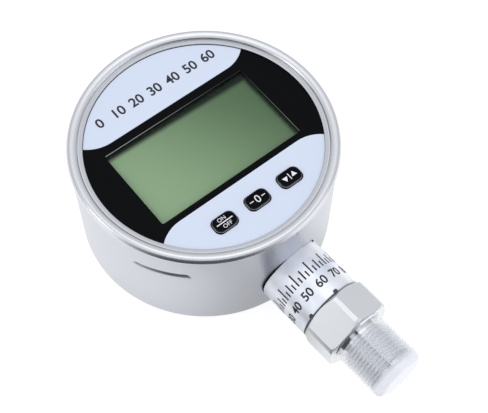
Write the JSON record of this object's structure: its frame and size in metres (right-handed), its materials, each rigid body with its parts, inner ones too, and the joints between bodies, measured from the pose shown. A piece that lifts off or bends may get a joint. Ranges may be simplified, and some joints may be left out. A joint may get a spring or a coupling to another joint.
{
  "type": "digital pressure gauge",
  "caption": "Round steel digital pressure gauge with a display, a row of keys and a capped screw connection below.",
  "frame": {"origin": "centre of the gauge's back face, on the axis of the round case", "axes": "+Z out of the dial; the stem and its thread leave along -Y; +X is to the right of the dial seen from the front"},
  "size_m": [0.1012, 0.158, 0.0507],
  "materials": {
    "case_steel": "satin stainless steel, finely turned round the wall",
    "bezel_steel": "turned stainless steel with a bright rolled bead",
    "door_steel": "satin stainless steel",
    "stem_steel": "turned stainless steel",
    "port_steel": "machined stainless steel, bright in the undercut",
    "capsule_steel": "machined stainless steel",
    "screw_steel": "bright screw steel",
    "can_metal": "plated can",
    "contact_metal": "nickel plated spring steel",
    "ring_brass": "turned brass",
    "label_foil": "wrapped foil label, left bare",
    "dial_black": "black printed plate",
    "pale_film": "pale printed film, smooth",
    "clear_pane": "clear polished pane",
    "display_green": "blank reflective display, grey green",
    "white_acrylic": "milky light guide",
    "key_black": "glossy black key with a pale printed sign",
    "plunger_ivory": "moulded nylon",
    "socket_ivory": "moulded nylon",
    "dark_plastic": "moulded dark plastic",
    "chip_black": "moulded epoxy",
    "capacitor_sleeve": "shrunk sleeve",
    "cell_wrap": "plain printed wrap",
    "board_green": "solder resist on glass epoxy",
    "lead_black": "soft lead insulation",
    "lead_red": "soft lead insulation",
    "foam_grey": "cut foam",
    "black_rubber": "moulded rubber",
    "strip_rubber": "layered conductive rubber",
    "cap_plastic": "translucent soft plastic"
  },
  "bodies": {
    "gauge": {"case_shell": "case_steel", "bezel_ring": "bezel_steel", "bezel_gasket": "black_rubber", "inner_ring": "dark_plastic", "dial_plate": "dial_black", "upper_film": "pale_film", "lower_film": "pale_film", "window_pane": "clear_pane", "display_frame": "dark_plastic", "display_glass": "display_green", "light_guide": "white_acrylic", "contact_strips": "strip_rubber", "tact_switches": "dark_plastic", "main_board": "board_green", "board_screws": "screw_steel", "processor_chip": "chip_black", "amplifier_chips": "chip_black", "crystal": "can_metal", "capacitors": "capacitor_sleeve", "lead_sockets": "socket_ivory", "battery_holder": "dark_plastic", "battery_cells": "cell_wrap", "battery_contacts": "contact_metal", "battery_leads": "lead_black", "battery_pad": "foam_grey", "battery_door": "door_steel", "door_gasket": "black_rubber", "door_screws": "screw_steel", "stem_sleeve": "stem_steel", "stem_label": "label_foil", "stem_seal": "black_rubber", "saddle_washer": "stem_steel", "lock_nut": "stem_steel", "sensor_leads": "lead_red", "sensor_capsule": "capsule_steel", "sensor_oring": "black_rubber", "sensor_ring": "ring_brass", "pressure_port": "port_steel"},
    "power_key": {"key_power": "key_black", "plunger_power": "plunger_ivory"},
    "zero_key": {"key_zero": "key_black", "plunger_zero": "plunger_ivory"},
    "unit_key": {"key_unit": "key_black", "plunger_unit": "plunger_ivory"},
    "cap": {"thread_cap": "cap_plastic"}
  },
  "joints": [
    {"name": "power_key_press", "type": "slide", "parent": "gauge", "child": "power_key", "axis": [0, 0, -1], "range_m": [0, 0.0005], "stiffness_N_per_m": 400, "springref_m": -0.001},
    {"name": "zero_key_press", "type": "slide", "parent": "gauge", "child": "zero_key", "axis": [0, 0, -1], "range_m": [0, 0.0005], "stiffness_N_per_m": 400, "springref_m": -0.001},
    {"name": "unit_key_press", "type": "slide", "parent": "gauge", "child": "unit_key", "axis": [0, 0, -1], "range_m": [0, 0.0005], "stiffness_N_per_m": 400, "springref_m": -0.001},
    {"name": "cap_pull", "type": "slide", "parent": "gauge", "child": "cap", "axis": [0, -1, 0], "range_m": [0, 0.03]}
  ]
}
